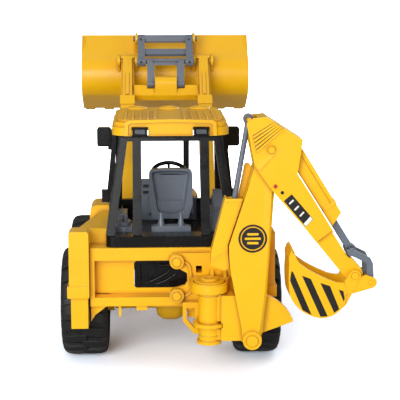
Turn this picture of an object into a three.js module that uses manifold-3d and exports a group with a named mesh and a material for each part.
// Toy backhoe loader, about 1:16: wheeled chassis with cab, front loader with tilt linkage, and a
// side-shifting backhoe. Millimetres, +Z up, +Y towards the loader, +X to the machine's right.
// Pieces are laid out from a zero on the rear axle's centre plane, then shifted as one so that
// the origin is the centre of the bottom of the whole object's box.
import * as THREE from "three";
import { mergeVertices } from "three/addons/utils/BufferGeometryUtils.js";
import Module from "manifold-3d";

const wasm = await Module();
wasm.setup();

// ---------------------------------------------------------------- shared dimensions
const SHIFT = [-32.6492, -80.65, -6.1]; // from the layout's zero to the object's origin
const GAP = 0.3; // clearance between neighbouring pieces

// Facets of round bars and turned pieces
const FEW = 8;
const USUAL = 12;
const MANY = 16;
const MOST = 24;

// ---------------------------------------------------------------- materials
const material = (settings) => new THREE.MeshStandardMaterial(settings);
const YELLOW = material({ color: 0xf7bf18, roughness: 0.36 });
const BLACK = material({ color: 0x1d1d1f, roughness: 0.5 });
const GREY = material({ color: 0x6f7884, roughness: 0.45 });
const RUBBER = material({ color: 0x1b1c1d, roughness: 0.85 });
const STEEL = material({ color: 0xb9bdc2, roughness: 0.3, metalness: 1 });

// ---------------------------------------------------------------- solids
const WELD = 1e-4; // vertices closer than this become one

// A closed three.js geometry as a solid, faces turned outwards.
function solid(geometry) {
  const bare = new THREE.BufferGeometry();
  bare.setAttribute("position", geometry.attributes.position);
  bare.setIndex(geometry.index);
  const welded = mergeVertices(bare, WELD);
  const positions = welded.attributes.position.array;
  const index = welded.index.array;
  const corner = (i) => new THREE.Vector3().fromArray(positions, 3 * i);
  let triangles = [];
  let volume = 0;
  for (let i = 0; i < index.length; i += 3) {
    const [a, b, c] = index.slice(i, i + 3);
    if (a === b || b === c || a === c) continue;
    triangles.push([a, b, c]);
    volume += corner(a).dot(corner(b).cross(corner(c)));
  }
  if (volume < 0) triangles = triangles.map(([a, b, c]) => [a, c, b]);
  return new wasm.Manifold(new wasm.Mesh({
    numProp: 3,
    vertProperties: new Float32Array(positions),
    triVerts: new Uint32Array(triangles.flat()),
  }));
}

// join and cut accept solids and lists of solids.
const join = (...parts) => parts.flat().reduce((a, b) => a.add(b));
const cut = (body, ...tools) => tools.flat().reduce((rest, tool) => rest.subtract(tool), body);
const overlap = (a, b) => a.intersect(b);
const mirrorX = (part) => part.mirror([1, 0, 0]);
const pair = (part) => [part, mirrorX(part)];

function box(x0, x1, y0, y1, z0, z1) {
  const block = new THREE.BoxGeometry(x1 - x0, y1 - y0, z1 - z0);
  return solid(block.translate((x0 + x1) / 2, (y0 + y1) / 2, (z0 + z1) / 2));
}

// Extrudes an outline along an axis: X takes (y, z), Y takes (x, z), Z takes (x, y).
function prism(axis, outline, from, to) {
  const shape = new THREE.Shape(outline.map(([x, y]) => new THREE.Vector2(x, y)));
  const block = new THREE.ExtrudeGeometry(shape, { depth: to - from, bevelEnabled: false });
  const place = new THREE.Matrix4();
  if (axis === "X") place.set(0, 0, 1, from, 1, 0, 0, 0, 0, 1, 0, 0, 0, 0, 0, 1);
  else if (axis === "Y") place.set(1, 0, 0, 0, 0, 0, -1, to, 0, 1, 0, 0, 0, 0, 0, 1);
  else place.makeTranslation(0, 0, from);
  return solid(block.applyMatrix4(place));
}

// A round bar along an axis; centre holds the two other coordinates in X, Y, Z order.
function rod(axis, [u, v], radius, from, to, facets = USUAL) {
  const middle = (from + to) / 2;
  const bar = new THREE.CylinderGeometry(radius, radius, to - from, facets);
  if (axis === "X") bar.rotateZ(Math.PI / 2).translate(middle, u, v);
  else if (axis === "Y") bar.translate(u, middle, v);
  else bar.rotateX(Math.PI / 2).translate(u, v, middle);
  return solid(bar);
}

// Turns a (radius, distance along) profile round the X or Z axis.
function lathe(axis, [u, v], profile, facets) {
  const points = profile.map(([radius, along]) => new THREE.Vector2(radius, along));
  const turned = new THREE.LatheGeometry(points, facets);
  if (axis === "X") turned.rotateZ(-Math.PI / 2).translate(0, u, v);
  else turned.rotateX(Math.PI / 2).translate(u, v, 0);
  return solid(turned);
}

// A rectangular bar from start to end: width lies along side, height the other way.
function bar(start, end, width, height, side = [1, 0, 0]) {
  const from = new THREE.Vector3(...start);
  const to = new THREE.Vector3(...end);
  const z = to.clone().sub(from);
  const length = z.length();
  z.normalize();
  const y = z.clone().cross(new THREE.Vector3(...side)).normalize();
  const x = y.clone().cross(z).normalize();
  const place = new THREE.Matrix4().makeBasis(x, y, z);
  place.setPosition(from.add(to).multiplyScalar(0.5));
  return solid(new THREE.BoxGeometry(width, height, length).applyMatrix4(place));
}

// ---------------------------------------------------------------- outlines
const radians = (degrees) => (degrees * Math.PI) / 180;

// Points of an arc, in degrees, anticlockwise when to > from.
function arc([cx, cy], radius, from, to, steps = 6) {
  return Array.from({ length: steps + 1 }, (_, i) => {
    const angle = radians(from + ((to - from) * i) / steps);
    return [cx + radius * Math.cos(angle), cy + radius * Math.sin(angle)];
  });
}

const roundedRect = (x0, x1, y0, y1, r, steps) => [
  ...arc([x1 - r, y0 + r], r, -90, 0, steps),
  ...arc([x1 - r, y1 - r], r, 0, 90, steps),
  ...arc([x0 + r, y1 - r], r, 90, 180, steps),
  ...arc([x0 + r, y0 + r], r, 180, 270, steps),
];

// The open line moved sideways, to its left when distance > 0.
function offsetLine(line, distance) {
  return line.map(([x, y], i) => {
    const before = line[Math.max(0, i - 1)];
    const after = line[Math.min(line.length - 1, i + 1)];
    const dx = after[0] - before[0];
    const dy = after[1] - before[1];
    const length = Math.hypot(dx, dy);
    return [x - (distance * dy) / length, y + (distance * dx) / length];
  });
}

// ---------------------------------------------------------------- chassis
const AXLE_Z = 51.1; // height of both axles
const AXLE_Y = { rear: 0, front: 137 };
const AXLE_R = 2.5;
const AXLE_TUBE_R = 7.5;
const FRAME_TOP = 95;
const TANK_Y = [52, 85]; // side tanks and their steps

function chassisFrame() {
  const body = join(
    box(-25, 25, -43.6, 158, 56, FRAME_TOP), // main beam
    box(-24, 24, -40, 70, 94, 104.3), // pedestal under the cab
    box(-25, 25, 157, 166, 60, 92), // nose block
    pair(box(24, 51.2, ...TANK_Y, 66, FRAME_TOP)), // side tanks under the doors
    pair(box(51, 60, ...TANK_Y, 66, 72)), // lower steps
    pair(box(51, 57, ...TANK_Y, 82, 86)), // upper steps
  );
  const saddles = Object.values(AXLE_Y).map((y) =>
    rod("X", [y, AXLE_Z], AXLE_TUBE_R + GAP, -30, 30));
  return cut(
    body,
    box(-22, 22, -38, 154, 50, 91), // hollow underneath
    pair(box(27, 49, 55, 82, 60, 92)), // hollow tanks
    saddles,
  );
}

// Beams at the back that carry the stabilisers and guide the backhoe carriage.
function rearFrame() {
  const halfWidth = 64.5;
  const beamY = [-60, -44];
  const [bottom, top] = [61.5, 108.4];
  const beams = join(
    box(-halfWidth, halfWidth, ...beamY, 98.4, top),
    box(-halfWidth, halfWidth, ...beamY, bottom, 68.5),
    box(-halfWidth, halfWidth, -47, -44, 67, 99), // recessed panel
    pair(box(61, halfWidth, ...beamY, bottom, top)), // end posts
  );
  return join(
    cut(
      beams,
      prism("Y", roundedRect(-30, 30, 73, 95, 2.5, 3), -48, -43), // window for the insert
      pair(box(49, 66, -47.2, -43, 50, 69)), // room for the tyres
    ),
    box(-28.2, -19.6, -58.5, -55, 57.5, 62), // lip under the beam
    box(-42.3, -40.3, -58.5, -55, 52.6, 62), // small peg
    pair(prism("Y", [[64.4, 62], [49, 62], [61, 53], [64.4, 47.5]], -54, -50)),
  );
}

// Moulded panel with the pipework of the valve block.
function rearInsert() {
  const pipe = (start, end) => bar(start, end, 1.6, 2, [0, 1, 0]);
  return join(
    prism("Y", roundedRect(-29.6, 29.6, 73.4, 94.6, 2.2, 3), -46.6, -44.3),
    box(-26.5, -24.5, -48.4, -46.4, 75, 93),
    box(-21, -13, -49, -46.4, 84, 93),
    box(-10, 22, -48.6, -46.4, 90, 92.5),
    pipe([-20, -47.3, 77], [-4, -47.3, 85]),
    pipe([-12, -47.3, 76], [3, -47.3, 84]),
    box(-2, 6, -48.8, -46.4, 84, 89),
    box(10, 12, -48.4, -46.4, 75, 90),
    box(15, 24, -48.8, -46.4, 76, 86),
  );
}

function axleHousing(y) {
  const bulge = [[0, -13], [9, -11], [12.3, -6], [12.8, 0], [12.3, 6], [9, 11], [0, 13]];
  const body = join(
    rod("X", [y, AXLE_Z], AXLE_TUBE_R, -46, 46),
    lathe("X", [y, 46.5], bulge, USUAL),
    box(-9, 9, y - 7, y + 7, AXLE_Z, 90.6),
  );
  return cut(body, rod("X", [y, AXLE_Z], AXLE_R + GAP, -60, 60, FEW));
}

const axle = (y) => rod("X", [y, AXLE_Z], AXLE_R, -84, 84, FEW);

// ---------------------------------------------------------------- wheels
const TYRE_R = 45;
const TYRE_X = [51.5, 90]; // inner and outer sides
const RIM_R = 27;

// (radius, x) of the right-hand wheel
const TYRE_PROFILE = [
  [27.4, 54.5], [38.6, TYRE_X[0]], [43.3, 54], [TYRE_R, 58.5], [TYRE_R, 82.5],
  [43.3, 87.5], [38.6, TYRE_X[1]], [27.4, 87], [27.4, 54.5],
];
const RIM_PROFILE = [
  [0, 84.6], [2.8, 84.6], [2.8, 47.2], [9, 47.2], [9, 70], [22.5, 72.5], [24.6, 54],
  [RIM_R, 54], [RIM_R, 87.6], [24.6, 87.6], [22.5, 79], [13, 77.5], [11.5, 85.5],
  [9.5, 87.4], [0, 87.4],
];

const tyre = (y) => lathe("X", [y, AXLE_Z], TYRE_PROFILE, MOST);
const rim = (y) => lathe("X", [y, AXLE_Z], RIM_PROFILE, MANY);

// ---------------------------------------------------------------- fenders
// Side views (y, z) and plans (x, y) of the outside and of the hollow
const FENDER_SIDE = [
  [-43.6, 99], [-43.6, 118], [-41, 120.5], [27, 122.5], [56, 121], [61, 116], [61, 99],
];
const FENDER_SIDE_IN = [
  [-41.6, 98], [-41.6, 117.2], [-40, 118.4], [27, 120.4], [55, 118.9], [58.9, 115], [58.9, 98],
];
const FENDER_PLAN = [[51.5, -44], [77.5, -44], [70, 27], [68, 27], [68, 61], [51.5, 61]];
const FENDER_PLAN_IN = [
  [53.5, -41.6], [75.2, -41.6], [67.8, 25], [65.8, 25], [65.8, 59], [53.5, 59],
];

// A block above a plane that falls away outwards and forwards, depth below the top edge.
function aboveFenderSlope(depth) {
  const thickness = 40;
  const z = new THREE.Vector3(665, 147.2, 700).normalize();
  const x = new THREE.Vector3(0, 0, 1).cross(z).normalize();
  const place = new THREE.Matrix4().makeBasis(x, z.clone().cross(x), z);
  const edge = new THREE.Vector3(75.6, -43, 120);
  place.setPosition(edge.addScaledVector(z, thickness / 2 - depth));
  return solid(new THREE.BoxGeometry(260, 260, thickness).applyMatrix4(place));
}

function fender() {
  const sloped = (side, x0, x1, plan, depth) => cut(
    overlap(prism("X", side, x0, x1), prism("Z", plan, 90, 140)),
    aboveFenderSlope(depth),
  );
  // Raised front part beside the cab
  const raised = [
    [51.5, 110], [68, 110], [67.6, 120.5],
    ...arc([61.6, 120.5], 6, 0, 90, 5).slice(1),
    [51.5, 126.5],
  ];
  const outside = join(
    sloped(FENDER_SIDE, 51.5, 81, FENDER_PLAN, 0),
    prism("Y", raised, 27, 60.5),
  );
  const shell = cut(
    outside,
    sloped(FENDER_SIDE_IN, 53.5, 80, FENDER_PLAN_IN, 2.2),
    box(53.5, 65.5, 29, 58.5, 98, 123.8),
  );
  return join(shell, box(24.6, 53, -38, 40, 99, 101.6)); // flange under the cab base
}

// ---------------------------------------------------------------- cab shell
const CAB_HALF = 51; // half width of the cab base
const SILL_Z = [104.7, 112]; // cab base, bottom and top
const FLOOR_Z = 107; // bottom of the cab base's recess
const LEDGE_TOP = 116.8; // raised ledge at the rear of the cab base

function cabBase() {
  const ledge = [
    [49, -39], [-49, -39], [-49, -52],
    ...arc([-43, -52], 6, 180, 270, 4).slice(1),
    ...arc([43, -52], 6, 270, 360, 4),
  ];
  const body = join(
    prism("Z", roundedRect(-CAB_HALF, CAB_HALF, -43, 72, 8, 4), ...SILL_Z),
    box(-40.8, 40.8, 68.5, 71.5, 111, 118), // front wall
    prism("Z", ledge, 108.7, LEDGE_TOP),
  );
  return cut(body, prism("Z", roundedRect(-47.4, 47.4, -38.5, 68, 5, 4), FLOOR_Z, 113));
}

function cabFrame() {
  const top = 192.6;
  // foot and head are (x, y); the foot starts 1 mm low and is trimmed afterwards
  const post = (foot, head, width, depth, footZ) =>
    bar([...foot, footZ - 1], [...head, 191], width, depth);
  const rearPosts = join(
    post([44.8, -50.5], [37.6, -25.6], 8.4, 7, LEDGE_TOP), // corner post
    post([27, -50.5], [27, -25.9], 7, 6, LEDGE_TOP), // window pillar
  );
  const half = join(
    cut(rearPosts, box(0, 60, -70, 0, 90, LEDGE_TOP + GAP)),
    post([44.3, 66], [42.6, 66], 6, 7, SILL_Z[1]), // front post
    bar([37.6, -25.6, 189.6], [40.6, 66, 189.6], 5, 5), // roof side rail
  );
  const frame = join(
    pair(half),
    box(-39, 39, -29.6, -22.4, 188.6, top), // rear header
    box(-44, 44, 62.6, 69.4, 187.4, 192.2), // front header
    box(-44, 44, 62.6, 68, 119, 125), // windscreen's lower bar
  );
  return overlap(frame, box(-60, 60, -60, 80, SILL_Z[1] + GAP, top));
}

// Upper side door: an open frame, leaning in towards the roof.
function door() {
  const frame = join(
    bar([52.0, 15, 131.4], [45.6, 15, 189.4], 3.2, 4.2),
    bar([49.6, 58.4, 131.4], [46.4, 58.4, 189.4], 3.2, 4),
    bar([51.8, 14, 133], [49.6, 59.5, 133], 3, 3.4),
    bar([45.8, 14, 187.8], [46.5, 59.5, 187.8], 3, 3.4),
    box(51.6, 57, 12.6, 18.4, 131.8, 142), // grip block
  );
  return overlap(frame, box(40, 60, 0, 70, 131.3, 189.4));
}

const ROOF_Z = 193; // underside
// Half width, rear y, front y, corner radius, bottom, top
const ROOF_LAYERS = [
  [47, -30, 75, 13, ROOF_Z, 199.6],
  [45.6, -28.6, 73.6, 12, 199, 203.4],
  [42.5, -25, 70, 10, 203, 205.2],
];

function roof() {
  const body = join(
    ROOF_LAYERS.map(([half, rear, front, corner, bottom, top]) =>
      prism("Z", roundedRect(-half, half, rear, front, corner, 5), bottom, top)),
    [-33, -26, -19, 19, 26, 33].map((x) => box(x - 0.9, x + 0.9, -22, 44, 205, 206)), // ribs
    [-26, 0, 26].map((x) => rod("Z", [x, 56], 8.2, 205, 206.6)), // discs
    box(-35, 35, -31, -24, ROOF_Z, 205.6), // rear visor frame
  );
  return cut(
    body,
    box(-32.4, 32.4, -32, -28, 194.6, 203.2),
    prism("Z", roundedRect(-42.6, 42.6, -24, 69, 6, 3), 192, 196.4), // hollow underneath
    pair(box(17.9, 31.1, -33, -21.5, 192, 200)), // room for the work lights
  );
}

const workLight = () => cut(
  box(18.6, 30.4, -32, -23, 192.9, 199.6),
  box(20.3, 28.7, -33, -30.6, 194.4, 198.2),
);

const mirror = () => join(
  prism("Y", roundedRect(50, 62.5, 171, 188, 1.5, 3), 68, 73),
  box(47, 53, 69, 72, 168, 174),
  box(47, 50.5, 69, 72, 168, 186),
);

// ---------------------------------------------------------------- cab interior
const INSIDE_Z = FLOOR_Z + GAP; // underside of everything standing on the floor
const CONSOLE_BASE = [INSIDE_Z, 110]; // z of the consoles' and seat's foot plates

function seat() {
  const back = [
    [-17, 131], ...arc([-14, 157], 3, 180, 90, 4), ...arc([15, 157], 3, 90, 0, 4),
    [18, 131], [15, 119.6], [-14, 119.6],
  ];
  const dish = [[-14, 132], [-14.6, 157], [15.6, 157], [15, 132], [10.5, 124], [-9.5, 124]];
  const cushion = [
    [4, 119.6], [37, 119.6], [38, 124], [36, 128.4], [10, 127], [7, 134], [4, 134],
  ];
  return join(
    cut(prism("Y", back, 1, 8), prism("Y", dish, 0, 4.6)),
    prism("X", cushion, -15.5, 16.5),
    box(-17.5, -14.5, 6, 30, 121, 137), // side bolsters
    box(15.5, 18.5, 6, 30, 121, 137),
  );
}

const seatBase = () => join(
  box(-12, 13, 6, 32, ...CONSOLE_BASE),
  box(-9, 10, 9, 29, 109, 119.2),
);

const leftConsole = () => join(
  box(-46.6, -31, -33, 44, ...CONSOLE_BASE),
  box(-46.6, -34, -30, 10, 109, 114.5),
  rod("Z", [-41, -14], 3.8, 114, 127, FEW),
  box(-45.5, -36, 14, 40, 109, 121),
);

function rightConsole() {
  const hump = [[-20, 123], [-12, 143], [-2, 145], [6, 138], [20, 136], [30, 123]];
  return join(
    box(31, 46.6, -33, 44, ...CONSOLE_BASE),
    box(33, 46.6, -28, 40, 109, 124),
    prism("X", hump, 35, 44.5),
  );
}

function leverConsole() {
  const body = [
    [-15.6, INSIDE_Z], [-15.6, 116.2], [-13, 117.5], [13, 117.5], [15.6, 116.2],
    [15.6, INSIDE_Z],
  ];
  const lever = [ // (radius, z)
    [0, 117.2], [3.9, 117.2], [3.5, 119], [1.7, 126.6], [1.25, 127.5], [1.25, 130],
    [0.7, 131], [0, 131],
  ];
  return join(
    prism("Y", body, -34, -25),
    [-8, 8].map((x) => lathe("Z", [x, -29.5], lever, FEW)),
  );
}

const STEERING = { centre: [0, 50, 150], radius: 14, tube: 1.6, lean: 30 }; // degrees off vertical

// Puts a geometry modelled about the column axis on the column, which leans to the driver.
function onColumn(geometry) {
  const place = new THREE.Matrix4().makeRotationX(radians(STEERING.lean));
  return solid(geometry.applyMatrix4(place.setPosition(...STEERING.centre)));
}

function columnRod(radius, from, to) {
  const upright = new THREE.CylinderGeometry(radius, radius, to - from, 16).rotateX(Math.PI / 2);
  return onColumn(upright.translate(0, 0, (from + to) / 2));
}

function dashPanel() {
  const body = join(
    box(-24, 24, 55.5, 61.8, INSIDE_Z, 127),
    box(-24.5, -15, 55.8, 61.6, 126, 143.5),
    columnRod(3.4, -34, -4.2),
  );
  return overlap(body, box(-30, 30, 40, 61.8, INSIDE_Z, 160));
}

function steeringWheel() {
  const spokes = [90, 210, 330].map((angle) => {
    const spoke = new THREE.BoxGeometry(13, 2.2, 1.8).translate(7, 0, -0.6);
    return onColumn(spoke.rotateZ(radians(angle)));
  });
  const ring = onColumn(new THREE.TorusGeometry(STEERING.radius, STEERING.tube, 6, 22));
  return join(ring, columnRod(2.9, -3.4, 1), spokes);
}

// ---------------------------------------------------------------- hood and nose
const STACK = [17.6, 130]; // x, y of the exhaust stack

function hood() {
  const outside = [[73, 95.4], [73, 126], [90, 125.4], [168, 116], [168, 95.4]];
  const inside = [[75, 94], [75, 123.6], [90, 123], [165.6, 113.9], [165.6, 94]];
  // Square bar on its edge that chamfers the sloping top corner
  const chamfer = new THREE.BoxGeometry(8, 110, 8).rotateY(Math.PI / 4).rotateX(-0.119);
  const shell = cut(
    prism("X", outside, -26, 26),
    prism("X", inside, -23.4, 23.4),
    pair(solid(chamfer.translate(29.4, 121, 125.6))),
  );
  return join(shell, rod("Z", STACK, 5, 117, 121.6)); // seat for the stack
}

const grille = () => join(
  box(-24, 24, 168.3, 170.3, 96.2, 114.6),
  [98, 101, 104, 107, 110].map((z) => box(-21.5, 21.5, 170.1, 171.2, z, z + 1.4)),
);

const exhaustStack = () => join(
  rod("Z", STACK, 4.6, 121.9, 126),
  rod("Z", STACK, 2.8, 125, 186),
);

// ---------------------------------------------------------------- loader
// Pivots as (y, z), and the radii of their pins
const ARM_PIVOT = [105, 108];
const ARM_PIN_R = 5.2;
const BUCKET_PIVOT = [212, 236];
const BUCKET_PIN_R = 2.8;
const LEVER_PIVOT = [190, 215]; // tilt lever on the arms
const LEVER_TOP = [196, 236]; // tilt lever to tilt link
const LINK_TOP = [218, 257]; // tilt link on the bucket
const LINK_TOP_PIN_R = 2.6;
const BUCKET_HALF = 83; // half width of the loader bucket
const BUCKET_WALL = 2.4;

function loaderTower() {
  const plate = [
    [88, 60], [123, 60], [123, 82], [114, 113], ...arc(ARM_PIVOT, 9, 40, 140, 5),
    [95, 112], [87, 82],
  ];
  return join(
    prism("X", plate, 26.6, 29.8),
    box(25.3, 27, 90, 121, 62, 92), // pad against the main beam
    rod("X", ARM_PIVOT, ARM_PIN_R, 29, 45.4),
  );
}

const ARM_ANGLE = Math.atan2(BUCKET_PIVOT[1] - ARM_PIVOT[1], BUCKET_PIVOT[0] - ARM_PIVOT[0]);

// The point this far along the arm from its pivot, and across it (positive is the upper side).
function onArm(along, across) {
  const cos = Math.cos(ARM_ANGLE);
  const sin = Math.sin(ARM_ANGLE);
  return [
    ARM_PIVOT[0] + cos * along - sin * across,
    ARM_PIVOT[1] + sin * along + cos * across,
  ];
}

function loaderArm() {
  const degrees = (ARM_ANGLE * 180) / Math.PI;
  const outline = [
    ...arc(ARM_PIVOT, 9, degrees + 90, degrees + 270, 8),
    onArm(40, -8.5), onArm(92, -3.2), onArm(120, -4.6), onArm(160, -5),
    ...arc(BUCKET_PIVOT, 5.6, degrees - 80, degrees + 80),
    onArm(150, 6), onArm(118, 10), onArm(92, 12.5), onArm(60, 11), onArm(30, 9.4),
  ];
  const recess = [
    onArm(16, -5), onArm(42, -5), onArm(88, 0.2), onArm(88, 9), onArm(60, 7.6), onArm(16, 5.6),
  ];
  const collar = [onArm(108, -6.4), onArm(118, -6.4), onArm(118, 12), onArm(108, 12)];
  const arm = cut(
    prism("X", outline, 30.6, 43.3),
    rod("X", ARM_PIVOT, ARM_PIN_R + GAP, 29, 50),
    rod("X", BUCKET_PIVOT, BUCKET_PIN_R + GAP, 29, 50),
    prism("X", recess, 41.7, 45),
  );
  return join(arm, prism("X", collar, 30.1, 44));
}

function loaderArms() {
  const beam = [[188, 199.4], [194, 199.4], [194, 214], [189, 214], [184, 205], [184.6, 203.6]];
  const leverMount = [
    [184.4, 204], [195, 204], [196.6, 214],
    ...arc([LEVER_PIVOT[0], LEVER_PIVOT[1] + 0.9], 6.6, 0, 180),
    [183.6, 212],
  ];
  return join(
    pair(loaderArm()),
    cut(prism("X", beam, -31, 31), pair(box(10.5, 18.3, 180, 198, 210.8, 216))),
    prism("X", leverMount, -10.4, 10.4),
    rod("X", LEVER_PIVOT, 2.2, -18, 18, FEW),
  );
}

function loaderBucket() {
  // Back and floor, (y, z) from the upper lip round to the cutting edge
  const outer = [
    [246, 259.6], [231, 242.5], [222.6, 233.6], [218.6, 224], [219.2, 212.5], [223.6, 204],
    [231.5, 198], [259, 184.4],
  ];
  const wall = [...outer, ...offsetLine(outer, BUCKET_WALL).reverse()];
  const side = [...outer, [261.5, 186.7], [255, 210], [250, 235], [249.6, 258.6]];
  const pivotLug = [
    ...arc(BUCKET_PIVOT, 5.4, 110, 290, 8),
    [219.8, 222.5], [219.8, 224.5], [223.5, 232.8], [228.9, 238.5], [218, 241.5],
  ];
  const linkLug = [
    ...arc(LINK_TOP, 4.6, 100, 260),
    [222, 249], [231.9, 241.7], [244.4, 256.3], [238, 260.5], [228, 262.4],
  ];
  const cornerFillet = [[80, 258], [81, 258], [81, 240], [80, 240], [77, 249]]; // (x, z)
  const tooth = [[254, 187.4], [258.6, 184], [262.5, 182.6], [261, 185.6], [255, 189]];
  const teeth = Array.from({ length: 9 }, (_, i) => {
    const x = -76 + 19 * i;
    return prism("X", tooth, x - 5, x + 5);
  });
  const half = join(
    prism("X", side, BUCKET_HALF - BUCKET_WALL, BUCKET_HALF),
    prism("X", pivotLug, 27.1, 29.8),
    prism("X", pivotLug, 44.4, 47),
    rod("X", BUCKET_PIVOT, BUCKET_PIN_R, 27.1, 47),
    prism("X", linkLug, 27.1, 29.4),
    prism("Y", cornerFillet, 237, 246),
  );
  return cut(
    join(prism("X", wall, -BUCKET_HALF, BUCKET_HALF), pair(half), teeth),
    pair(rod("X", LINK_TOP, LINK_TOP_PIN_R + GAP, 26, 31)),
  );
}

// Lever pivoted on the arms; its top pins carry the link's lower eyes.
function tiltLever() {
  const middle = 14.4; // x of the cheek's centre
  const cheekX = [10.9, 17.9];
  const [topY, topZ] = LEVER_TOP;
  const cheek = cut(
    join(
      bar([middle, ...LEVER_PIVOT], [middle, ...LEVER_TOP], 7, 5.8),
      rod("X", LEVER_PIVOT, 3.6, ...cheekX),
      rod("X", LEVER_TOP, 3.5, ...cheekX),
    ),
    rod("X", LEVER_PIVOT, 2.6, 9, 19),
    bar([middle, 186.4, 221.6], [middle, 190.4, 231.6], 3.4, 3.4), // channel in the leg's back
  );
  return join(
    pair(cheek),
    box(-11.2, 11.2, topY - 2.7, topY + 2.7, topZ - 3, topZ + 3),
    rod("X", LEVER_TOP, 2, -26.6, 26.6, FEW),
  );
}

function tiltLink() {
  const middle = 23.4; // x of the side bar's centre
  const side = cut(
    join(
      bar([middle, ...LEVER_TOP], [middle, ...LINK_TOP], 6.8, 7),
      rod("X", LEVER_TOP, 4.4, 19.4, 26.8),
      rod("X", LINK_TOP, 4.4, 20, 26.8),
    ),
    rod("X", LEVER_TOP, 2.6, 18, 28),
  );
  return join(
    pair(side),
    rod("X", LINK_TOP, LINK_TOP_PIN_R, -31.4, 31.4),
    box(-21, 21, 214.4, 221.6, 253.4, 260.8), // upper crossbar
    bar([0, 202.1, 242], [0, 207.1, 246.8], 42, 3.4), // lower crossbar
  );
}

// ---------------------------------------------------------------- stabilisers
const STABILISER = { x0: 64.9, x1: 80.6, y0: -67.2, y1: -48, bottom: 70, top: 123, sole: 45 };
const STABILISER_WALL = 0.8;

function stabiliserBox() {
  const { x0, x1, y0, y1, bottom, top } = STABILISER;
  const wall = STABILISER_WALL;
  const outline = [
    [x0, bottom], [x1, bottom], [x1, top - 1.5], [x1 - 1.5, top], [x0 + 1.5, top],
    [x0, top - 1.5],
  ];
  return cut(
    join(
      prism("Y", outline, y0, y1),
      box(x0, x1 + 1.5, y0 - 0.7, y1 + 0.6, bottom, bottom + 9.5), // collar at the foot
    ),
    box(x0 + wall, x1 - wall, y0 + wall, y1 - wall, bottom - 1, top - 1.3),
  );
}

function stabiliserLeg() {
  const inset = STABILISER_WALL + GAP;
  const x0 = STABILISER.x0 + inset;
  const x1 = STABILISER.x1 - inset;
  const y0 = STABILISER.y0 + inset;
  const y1 = STABILISER.y1 - inset;
  const { sole } = STABILISER;
  return cut(
    box(x0, x1, y0, y1, sole, 121.2),
    box(x0 + 2, x1 - 2, y0 + 2, y1 - 2, sole + 3, 130),
  );
}

// ---------------------------------------------------------------- backhoe: shared places
const HOE_Y = -85; // the backhoe's own centre plane
const SLEW_AXIS = [28, HOE_Y]; // x, y

// Pivots as (x, z). The scoop is the backhoe's bucket.
const BOOM_PIVOT = [60.4, 43.3];
const DIPPER_PIVOT = [73.5, 191];
const DIPPER_RAM_EYE = [57.2, 212.8]; // rod eye of the dipper ram
const SCOOP_PIVOT = [138.4, 93.9];
const SCOOP_LINK = [150.9, 88.4]; // link pin on the scoop
const SCOOP_RAM_EYE = [136.3, 112.0]; // rod eye of the scoop's ram
const LINK_PIN = [135.66, 111.64]; // the link's free pin inside that eye

const SLEW_PIN_R = 3.6;
const HOE_PIN_R = 3; // boom and dipper pivots
const SCOOP_PIN_R = 2;
const SCOOP_LINK_PIN_R = 1.9;
const RAM_EYE_PIN_R = 1.8;

// Spans in y, measured from the backhoe's centre plane
const centred = (half) => [HOE_Y - half, HOE_Y + half];
const eachSide = (inner, outer, make) => [
  make(HOE_Y - outer, HOE_Y - inner),
  make(HOE_Y + inner, HOE_Y + outer),
];
const prismEachSide = (outline, inner, outer) =>
  eachSide(inner, outer, (y0, y1) => prism("Y", outline, y0, y1));
const rodEachSide = (centre, radius, inner, outer) =>
  eachSide(inner, outer, (y0, y1) => rod("Y", centre, radius, y0, y1));
const hole = (centre, pinRadius) => rod("Y", centre, pinRadius + GAP, ...centred(25));

// ---------------------------------------------------------------- backhoe: carriage and slew
function carriage() {
  const upperBoss = [3.6, 98.8];
  const lowerBoss = [3.6, 71.5];
  const plate = [
    [52, 105], [52, 66.4], [36, 66.4], [36, 53], [12, 53], [12, 66.4], [2, 66.4],
    ...arc(lowerBoss, 5.6, 250, 90), [10, 79], [12.6, 83], [11.4, 89], [5, 92.6],
    ...arc(upperBoss, 5.8, 240, 90),
  ];
  const hook = [[8, 67], [20.5, 67], [20.5, 41.6], [17, 41.6], [8, 52]];
  const hookHole = [[11, 62.5], [11, 53.4], [17.4, 46.2], [17.4, 62.5]];
  const rib = [[-63.5, 86], [-63.5, 93], [-70, 86]];
  const body = join(
    prism("Y", plate, -64, -60.5),
    box(12, 50, -61, -50.6, 68.8, 98.1), // tongue between the beams
    [upperBoss, lowerBoss].flatMap((boss) => [
      rod("Y", boss, 5.6, -69.5, -60.5),
      rod("Y", boss, 2.9, -70.7, -69),
    ]),
    prism("Z", [[13, -62], [46, -62], [41, -84], [14.4, -84]], 80, 86.2), // top eye
    rod("Z", SLEW_AXIS, 14, 80, 86.2, MANY),
    box(19, 37, -84, -62, 52.7, 55.3), // lower eye
    rod("Z", SLEW_AXIS, 12.5, 52.7, 55.3, MANY),
    cut(prism("Y", hook, -72, -68), prism("Y", hookHole, -73, -67)),
    box(8, 20.5, -69, -60.5, 60, 67),
    prism("X", rib, 30, 32.4), // ribs on the top eye
    prism("X", rib, 40, 42.4),
  );
  return cut(
    body,
    box(18.6, 23.4, -66, -48, 89, 94.6),
    rod("Z", SLEW_AXIS, SLEW_PIN_R + GAP, 79, 87),
    rod("Z", SLEW_AXIS, 8.75, 50, 58, MANY),
  );
}

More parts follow.
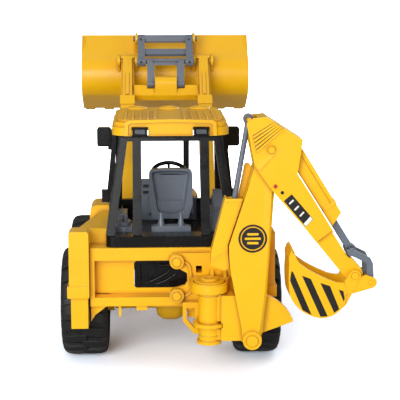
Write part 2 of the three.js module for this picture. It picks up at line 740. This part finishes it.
function swingBody() {
  const column = 8.3; // radius
  const bracket = [
    [37, 42], [37, 77.6], [53, 77.6], [56.4, 60], [66.6, 50],
    ...arc(BOOM_PIVOT, 7, 20, -100), [52, 42],
  ];
  const quadrant = [BOOM_PIVOT, ...arc(BOOM_PIVOT, 35, 20, 112, 14)];
  const body = join(
    rod("Z", SLEW_AXIS, column, 38.7, 79.6, MANY),
    rod("Z", SLEW_AXIS, 9.6, 38.7, 41.2, MANY),
    box(28, 40, ...centred(6), 57, 78),
    box(28, 40, ...centred(6), 42, 51),
    prism("Y", bracket, ...centred(8.2)),
    prism("Y", quadrant, ...centred(2.4)),
  );
  // Groove round the column that clears the carriage's lower eye
  const grooved = join(
    cut(body, rod("Z", SLEW_AXIS, 13, 52.2, 55.8, MANY)),
    rod("Z", SLEW_AXIS, column, 50, 58, MANY),
  );
  return cut(
    grooved,
    rod("Z", SLEW_AXIS, SLEW_PIN_R + GAP, 30, 90),
    hole(BOOM_PIVOT, HOE_PIN_R),
  );
}

const kingpostPin = () => cut(
  join(
    rod("Z", SLEW_AXIS, SLEW_PIN_R, 37.6, 88),
    rod("Z", SLEW_AXIS, 11.6, 86.5, 88.4, MANY),
    rod("Z", SLEW_AXIS, 6.8, 88, 90.2, MANY),
  ),
  rod("Z", SLEW_AXIS, 4.2, 89.2, 91),
);

// ---------------------------------------------------------------- backhoe: boom
function boom() {
  const cavity = centred(9);
  const outline = [
    ...arc(BOOM_PIVOT, 7.2, -170, -10, 8),
    [71.3, 75.9], [74.7, 130.2], [76.2, 152], [77, 165], [82.6, 186],
    ...arc(DIPPER_PIVOT, 9.2, -30, 190, 10),
    [61.4, 178.2], [56.5, 160.8], [42.4, 117.1], [43.4, 98.9], [52.4, 52.7],
  ];
  const hollow = [
    [57, 60], [70, 80], [72, 130], [73.6, 152], [74, 164], [76, 176], [69, 180], [64.2, 177],
    [59, 159.8], [45.1, 116.6], [46.1, 99.5],
  ];
  const fin = [
    [49, 146], [54.6, 174.5], ...arc([57.4, 175.4], 2.7, 160, 20, 4), [62, 166], [62, 146],
  ];
  const shell = cut(
    prism("Y", outline, ...centred(11.5)),
    prism("Y", hollow, ...cavity),
    rod("Y", BOOM_PIVOT, 37.5, ...cavity, MOST), // room for the quadrant plate
  );
  return cut(
    join(shell, prism("Y", fin, -80, -76), rodEachSide(BOOM_PIVOT, 7.2, 10, 13.6)),
    hole(BOOM_PIVOT, HOE_PIN_R),
    hole(DIPPER_PIVOT, HOE_PIN_R),
  );
}

const boomPivotPin = () => join(
  rod("Y", BOOM_PIVOT, HOE_PIN_R, -99.4, -70.8),
  rod("Y", BOOM_PIVOT, 4.3, -100.3, -98.9),
);

// Fixed casing that the dipper ram's rod runs into, open at the top and towards the boom.
function dipperRamCasing() {
  const outside = [
    [39.2, 152.4], [53.0, 152.4], [41.6, 117.3], [42.6, 99.4], [39, 97.4], [28.6, 101.6],
    [29.3, 113],
  ];
  const well = [
    [40.2, 154], [54.6, 154], [42.2, 117.2], [43.6, 103.2], [30.6, 103.2], [30.4, 112.8],
  ];
  return cut(prism("Y", outside, -93, -80.4), prism("Y", well, -90.6, -82));
}

// ---------------------------------------------------------------- backhoe: dipper and rams
// The point this far down the scoop's ram from its eye, and across it.
const onScoopRam = (along, across) => [
  SCOOP_RAM_EYE[0] + 0.53 * along + 0.852 * across,
  SCOOP_RAM_EYE[1] - 0.848 * along + 0.524 * across,
];

// Rectangle along the scoop's ram, either side of its axis.
const scoopRamStrip = (from, to, half) => [
  onScoopRam(from, -half), onScoopRam(from, half), onScoopRam(to, half), onScoopRam(to, -half),
];

function dipper() {
  const head = [
    [53.2, 211.6], [53.8, 215.2], [60.2, 217], [69.8, 218.1], [73.2, 214.8], [97, 198.1],
    [93.3, 172.9], [105.7, 153.7], [120.4, 129.8], [108, 120.4], [96.4, 134.7],
    [76.4, 157.5], [61.2, 178.6],
  ];
  const hollow = [
    [50, 205], [52, 225], [62.6, 222], [63.4, 214.4], [70.6, 214.9], [72.6, 212],
    [94.2, 196.8], [90.6, 172.6], [103.2, 153], [116.6, 131.2], [109.4, 125], [98.4, 137.6],
    [87.2, 150], [84, 146.4], [76, 154], [48, 184],
  ];
  const fore = [
    [117.4, 134.4], [131.4, 111.9], [144.3, 97.6], ...arc(SCOOP_PIVOT, 6.8, 10, -110),
    [129.4, 94.2], [105, 124],
  ];
  // Room for the ram rod and its eye
  const notch = [
    onScoopRam(-21, -4), onScoopRam(-20, -4.9), onScoopRam(3, -4.9), onScoopRam(5.4, -2),
    onScoopRam(5.4, 9), onScoopRam(-21, 9),
  ];
  const body = join(
    cut(prism("Y", head, ...centred(14.5)), prism("Y", hollow, ...centred(12))),
    prism("Y", fore, ...centred(8.6)),
    rod("Y", DIPPER_RAM_EYE, RAM_EYE_PIN_R, ...centred(13.5), FEW),
  );
  return cut(
    body,
    prism("Y", notch, ...centred(8.9)),
    hole(DIPPER_PIVOT, HOE_PIN_R),
    hole(SCOOP_PIVOT, SCOOP_PIN_R),
  );
}

const dipperPivotPin = () => join(
  rod("Y", DIPPER_PIVOT, HOE_PIN_R, ...centred(15.4)),
  rodEachSide(DIPPER_PIVOT, 4.4, 14.8, 16),
);

function dipperRamRod() {
  const ramY = -86.2;
  const angle = radians(260.5); // from +X towards +Z
  const cos = Math.cos(angle);
  const sin = Math.sin(angle);
  const toMiddle = 40.5; // from the eye to the middle of the shaft
  const [eyeX, eyeZ] = DIPPER_RAM_EYE;
  const place = new THREE.Matrix4().makeBasis(
    new THREE.Vector3(0, 1, 0),
    new THREE.Vector3(cos, 0, sin),
    new THREE.Vector3(sin, 0, -cos),
  );
  place.setPosition(eyeX + toMiddle * cos, ramY, eyeZ + toMiddle * sin);
  const shaft = solid(new THREE.CylinderGeometry(2.1, 2.1, 75, 16).applyMatrix4(place));
  return cut(
    join(shaft, rod("Y", DIPPER_RAM_EYE, 4.1, ramY - 2.8, ramY + 2.8)),
    rod("Y", DIPPER_RAM_EYE, RAM_EYE_PIN_R + GAP, -95, -75, FEW),
  );
}

// Casing of the scoop's ram on the dipper's back, open at its lower end.
function scoopRamCasing() {
  const outside = [
    [97.9, 190.4], [128.1, 141.6], [121.2, 130.9], [106.2, 154.3], [94.1, 173.3], [96.3, 188],
  ];
  return cut(
    prism("Y", outside, ...centred(7)),
    prism("Y", scoopRamStrip(-68, -10, 3.2), ...centred(3.5)),
  );
}

const scoopRamRod = () => cut(
  join(
    prism("Y", scoopRamStrip(-52, -2, 2.8), ...centred(3)),
    rod("Y", SCOOP_RAM_EYE, 4.4, ...centred(3)),
  ),
  rod("Y", SCOOP_RAM_EYE, 2.9, ...centred(15)),
);

// Dog-leg link from the ram's eye to the scoop; its pin floats in the eye.
function scoopLink() {
  const path = [LINK_PIN, [148.4, 105.4], [149.9, 102.4], SCOOP_LINK];
  const half = 2.4; // half width of the legs
  const endRadii = [3, half, half, 3.6];
  const plate = (y0, y1) => join(
    path.slice(1).map((end, i) => {
      const leg = [path[i], end];
      const outline = [...offsetLine(leg, -half), ...offsetLine(leg, half).reverse()];
      return prism("Y", outline, y0, y1);
    }),
    path.map((point, i) => rod("Y", point, endRadii[i], y0, y1)),
  );
  return cut(
    join(
      eachSide(9.2, 11.8, plate),
      rod("Y", LINK_PIN, 1.25, ...centred(10), FEW),
      rod("Y", path[2], 1.5, ...centred(10), FEW),
    ),
    rod("Y", SCOOP_LINK, SCOOP_LINK_PIN_R + GAP, ...centred(15)),
  );
}

// ---------------------------------------------------------------- backhoe: scoop
// Back and floor (x, z), from the teeth round to the pivot
const SCOOP_BACK = [
  [89.4, 114.4], [87.6, 108.7], [88, 104], [87.6, 97], [87.8, 88], [88.8, 79], [92, 73],
  [97.4, 67.2], [105.5, 62.8], [113, 61.1], [117.8, 61.7], [123, 63.6], [127.2, 66.9],
  [131.4, 70.5], [134, 75], [136.4, 79.9],
];
// Upper edge of the sides (x, z), from the pivot to the teeth
const SCOOP_EDGE = [
  [128.5, 88.7], [123, 89.6], [117.6, 91.6], [112.3, 94], [108, 96.2], [103.2, 98.9],
  [97.8, 102.7], [94.3, 106.2], [92.6, 110],
];

function scoop() {
  const web = [
    ...SCOOP_BACK, [137.6, 80], ...arc(SCOOP_LINK, 4.4, -72, 75), [146.5, 94.3],
    [142.2, 92.4], ...arc(SCOOP_PIVOT, 4.5, 10, 140), [129.5, 88.9], ...SCOOP_EDGE,
  ];
  const cheek = [
    ...SCOOP_BACK.slice(0, 13), [131.6, 71.4], [131.3, 83.4], [130, 88.7], ...SCOOP_EDGE,
  ];
  const ear = [
    [131, 80], [136.4, 79.9], [139.1, 85.8], ...arc(SCOOP_PIVOT, 4.5, -10, 140, 7),
    [130.4, 88.9],
  ];
  const shell = [...SCOOP_BACK, ...offsetLine(SCOOP_BACK, 2.2).reverse()];
  const tooth = [[87.8, 106], [88.1, 111], [90.4, 116], [92.2, 112], [92.4, 107]];
  const body = join(
    prismEachSide(web, 12.2, 13.8),
    prism("Y", shell, ...centred(13)),
    [-95.6, -88.8, -82, -75.2].map((y) => prism("Y", tooth, y - 1.6, y + 2.6)),
    prismEachSide(cheek, 13.7, 15),
    prismEachSide(ear, 13.7, 14.5),
    rod("Y", SCOOP_LINK, SCOOP_LINK_PIN_R, ...centred(13), FEW),
  );
  return cut(body, hole(SCOOP_PIVOT, SCOOP_PIN_R));
}

const scoopPivotPin = () => join(
  rod("Y", SCOOP_PIVOT, SCOOP_PIN_R, ...centred(15.6)),
  rodEachSide(SCOOP_PIVOT, 2.7, 14.8, 16.2),
);

// ---------------------------------------------------------------- assembly
const root = new THREE.Group();
const layout = new THREE.Group();
layout.position.set(...SHIFT);
root.add(layout);

function addPiece(name, finish, part) {
  const { vertProperties, triVerts } = part.getMesh();
  const geometry = new THREE.BufferGeometry();
  geometry.setAttribute("position", new THREE.Float32BufferAttribute(vertProperties, 3));
  geometry.setIndex(new THREE.Uint32BufferAttribute(triVerts, 1));
  geometry.computeVertexNormals();
  const mesh = new THREE.Mesh(geometry, finish);
  mesh.name = name;
  layout.add(mesh);
}

// Adds the right-hand piece and its mirror image.
function addPair(name, finish, part) {
  addPiece(`${name}_right`, finish, part);
  addPiece(`${name}_left`, finish, mirrorX(part));
}

addPiece("chassis_frame", YELLOW, chassisFrame());
addPiece("rear_frame", YELLOW, rearFrame());
addPiece("rear_insert", BLACK, rearInsert());
for (const [end, y] of Object.entries(AXLE_Y)) {
  addPiece(`${end}_axle_housing`, YELLOW, axleHousing(y));
  addPiece(`${end}_axle`, STEEL, axle(y));
}
for (const [end, y] of Object.entries(AXLE_Y)) {
  addPair(`tyre_${end}`, RUBBER, tyre(y));
  addPair(`rim_${end}`, YELLOW, rim(y));
}
addPair("fender", YELLOW, fender());

addPiece("cab_base", BLACK, cabBase());
addPiece("cab_frame", BLACK, cabFrame());
addPair("door", BLACK, door());
addPiece("roof", YELLOW, roof());
addPair("work_light", BLACK, workLight());
addPair("mirror", BLACK, mirror());
addPiece("seat", GREY, seat());
addPiece("seat_base", BLACK, seatBase());
addPiece("console_left", GREY, leftConsole());
addPiece("console_right", GREY, rightConsole());
addPiece("lever_console", GREY, leverConsole());
addPiece("dash_panel", GREY, dashPanel());
addPiece("steering_wheel", BLACK, steeringWheel());

addPiece("hood", YELLOW, hood());
addPiece("grille", BLACK, grille());
addPiece("exhaust_stack", BLACK, exhaustStack());

addPair("loader_tower", YELLOW, loaderTower());
addPiece("loader_arms", YELLOW, loaderArms());
addPiece("loader_bucket", YELLOW, loaderBucket());
addPiece("tilt_lever", GREY, tiltLever());
addPiece("tilt_link", GREY, tiltLink());

addPair("stabiliser_box", YELLOW, stabiliserBox());
addPair("stabiliser_leg", YELLOW, stabiliserLeg());
addPiece("carriage", YELLOW, carriage());
addPiece("swing_body", YELLOW, swingBody());
addPiece("kingpost_pin", YELLOW, kingpostPin());
addPiece("boom", YELLOW, boom());
addPiece("boom_pivot_pin", YELLOW, boomPivotPin());
addPiece("dipper_ram_casing", YELLOW, dipperRamCasing());
addPiece("dipper", YELLOW, dipper());
addPiece("dipper_pivot_pin", YELLOW, dipperPivotPin());
addPiece("dipper_ram_rod", GREY, dipperRamRod());
addPiece("bucket_ram_casing", YELLOW, scoopRamCasing());
addPiece("bucket_ram_rod", GREY, scoopRamRod());
addPiece("bucket_link", GREY, scoopLink());
addPiece("backhoe_bucket", YELLOW, scoop());
addPiece("bucket_pivot_pin", YELLOW, scoopPivotPin());

export default root;
